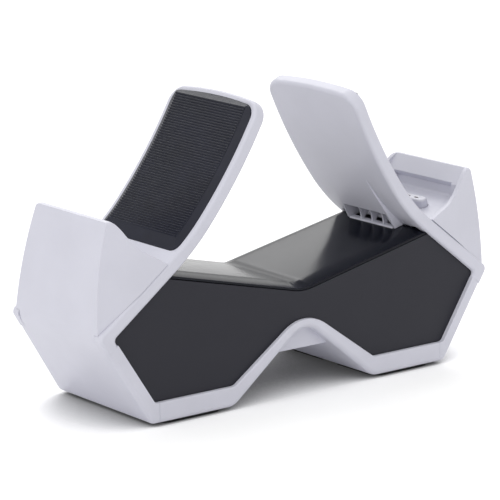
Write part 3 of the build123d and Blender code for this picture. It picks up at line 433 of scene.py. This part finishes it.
class OBJECT_OT_dock_studio(bpy.types.Operator):
    """Pale floor, soft lamps, room light and the camera"""
    bl_idname = "object.dock_studio"
    bl_label = "Studio"

    def lamp(self, name, place, width, power):
        """A light from one side, as wide as a softbox and the same all over the floor."""
        deselect()
        bpy.ops.object.light_add(type="SUN", location=place)
        lamp = bpy.context.active_object
        lamp.name = name
        lamp.data.angle = width
        lamp.data.energy = power
        lamp.rotation_euler = Vector(place).to_track_quat("Z", "Y").to_euler()

    def execute(self, context):
        studio = context.scene.dock_studio
        for name, place, width in SOFTBOXES:
            self.lamp(name + "_softbox", place, width, getattr(studio, name))
        deselect()
        bpy.ops.mesh.primitive_plane_add(size=FLOOR_SIZE, location=(0, 0, 0))
        floor = bpy.context.active_object
        floor.name = "studio_floor"
        floor.data.materials.append(self.floor_paint(studio))
        self.room(context.scene, studio)
        self.camera(context.scene, studio)
        return {"FINISHED"}

    def floor_paint(self, studio):
        """Pale paint, white to the camera and in reflections, with a painted contact shadow round the dock.
        """
        tree = Tree("pale_floor")
        stops = (shade(studio.floor, 0.99), studio.floor)
        cloud = tree.ramp(tree.noise(scale=3), low=0.3, high=0.7, stops=stops)
        tree.link(cloud, tree.shader.inputs["Base Color"])
        tree.set(Roughness=0.9, Specular_IOR_Level=0.1)
        # Painted contact shadow: the colour and glow darken with the occlusion round the dock, seen by
        # camera and mirror rays only
        near = tree.add("ShaderNodeAmbientOcclusion")
        near.samples = SHADOW_RAYS
        near.inputs["Distance"].default_value = studio.reach
        contact = tree.ramp(near.outputs["AO"], SHADOW_START, SHADOW_END, (SHADOW_DARK, WHITE))
        seen = tree.add("ShaderNodeBsdfDiffuse")
        tree.link(contact, seen.inputs["Color"])
        glow = tree.add("ShaderNodeEmission")
        tree.link(contact, glow.inputs["Color"])
        glow.inputs["Strength"].default_value = studio.glow
        both = tree.add("ShaderNodeAddShader")
        tree.link(seen.outputs["BSDF"], both.inputs[0])
        tree.link(glow.outputs["Emission"], both.inputs[1])
        mix = tree.add("ShaderNodeMixShader")
        tree.link(seen_rays(tree.nodes, tree.links), mix.inputs["Fac"])
        tree.link(tree.shader.outputs["BSDF"], mix.inputs[1])
        tree.link(both.outputs["Shader"], mix.inputs[2])
        tree.link(mix.outputs["Shader"], tree.out.inputs["Surface"])
        return tree.material

    def room(self, scene, studio):
        """White backdrop to the camera and in reflections, and a soft light from all round."""
        world = bpy.data.worlds.new("studio_room")
        scene.world = world
        world.use_nodes = True
        nodes = world.node_tree.nodes
        links = world.node_tree.links
        nodes.clear()
        out = nodes.new("ShaderNodeOutputWorld")
        mix = nodes.new("ShaderNodeMixShader")
        links.new(seen_rays(nodes, links), mix.inputs["Fac"])
        for place, strength in ((1, studio.room), (2, BACKDROP)):
            light = nodes.new("ShaderNodeBackground")
            light.inputs["Color"].default_value = (*WHITE, 1)
            light.inputs["Strength"].default_value = strength
            links.new(light.outputs["Background"], mix.inputs[place])
        links.new(mix.outputs["Shader"], out.inputs["Surface"])

    def camera(self, scene, studio):
        """The photograph's view, with its slight roll."""
        a, e, r = studio.azimuth, studio.elevation, studio.roll
        level = Vector((math.cos(a), math.sin(a), 0))
        back = Vector((math.sin(a) * math.cos(e), -math.cos(a) * math.cos(e), math.sin(e)))
        rise = back.cross(level)
        right = level * math.cos(r) + rise * math.sin(r)
        up = rise * math.cos(r) - level * math.sin(r)
        place = level * studio.side + Vector((0, 0, studio.height)) + back * studio.distance
        deselect()
        bpy.ops.object.camera_add()
        camera = bpy.context.active_object
        camera.name = "photo_camera"
        camera.data.lens = studio.lens
        camera.data.sensor_width = SENSOR_WIDTH
        camera.matrix_world = Matrix((right, up, back)).transposed().to_4x4()
        camera.location = place
        scene.camera = camera
        scene.view_settings.view_transform = "Standard"


class VIEW3D_PT_dock(bpy.types.Panel):
    """Lists the dock's steps and its main values"""
    bl_idname = "VIEW3D_PT_dock"
    bl_label = "Charging dock"
    bl_space_type = "VIEW_3D"
    bl_region_type = "UI"
    bl_category = "Dock"

    def draw(self, context):
        layout = self.layout
        for step in STEPS:
            layout.operator(step.bl_idname)
        for group in (context.scene.dock_finish, context.scene.dock_edges, context.scene.dock_studio):
            box = layout.box()
            for name in group.__annotations__:
                box.prop(group, name)


STEPS = (OBJECT_OT_dock_shell, OBJECT_OT_dock_panels, OBJECT_OT_dock_pads, OBJECT_OT_dock_charging,
         OBJECT_OT_dock_feet, OBJECT_OT_dock_studio)
CLASSES = (DockFinish, DockEdges, DockStudio) + STEPS + (VIEW3D_PT_dock,)


def register():
    """Makes the dock's values and steps known to Blender."""
    for cls in CLASSES:
        bpy.utils.register_class(cls)
    bpy.types.Scene.dock_finish = bpy.props.PointerProperty(type=DockFinish)
    bpy.types.Scene.dock_edges = bpy.props.PointerProperty(type=DockEdges)
    bpy.types.Scene.dock_studio = bpy.props.PointerProperty(type=DockStudio)


def unregister():
    """Takes them out again."""
    del bpy.types.Scene.dock_studio
    del bpy.types.Scene.dock_edges
    del bpy.types.Scene.dock_finish
    for cls in reversed(CLASSES):
        bpy.utils.unregister_class(cls)


def main():
    """Makes every piece in order."""
    register()
    bpy.ops.object.dock_shell()
    bpy.ops.object.dock_panels()
    bpy.ops.object.dock_pads()
    bpy.ops.object.dock_charging()
    bpy.ops.object.dock_feet()
    bpy.ops.object.dock_studio()


if __name__ == "__main__":
    main()
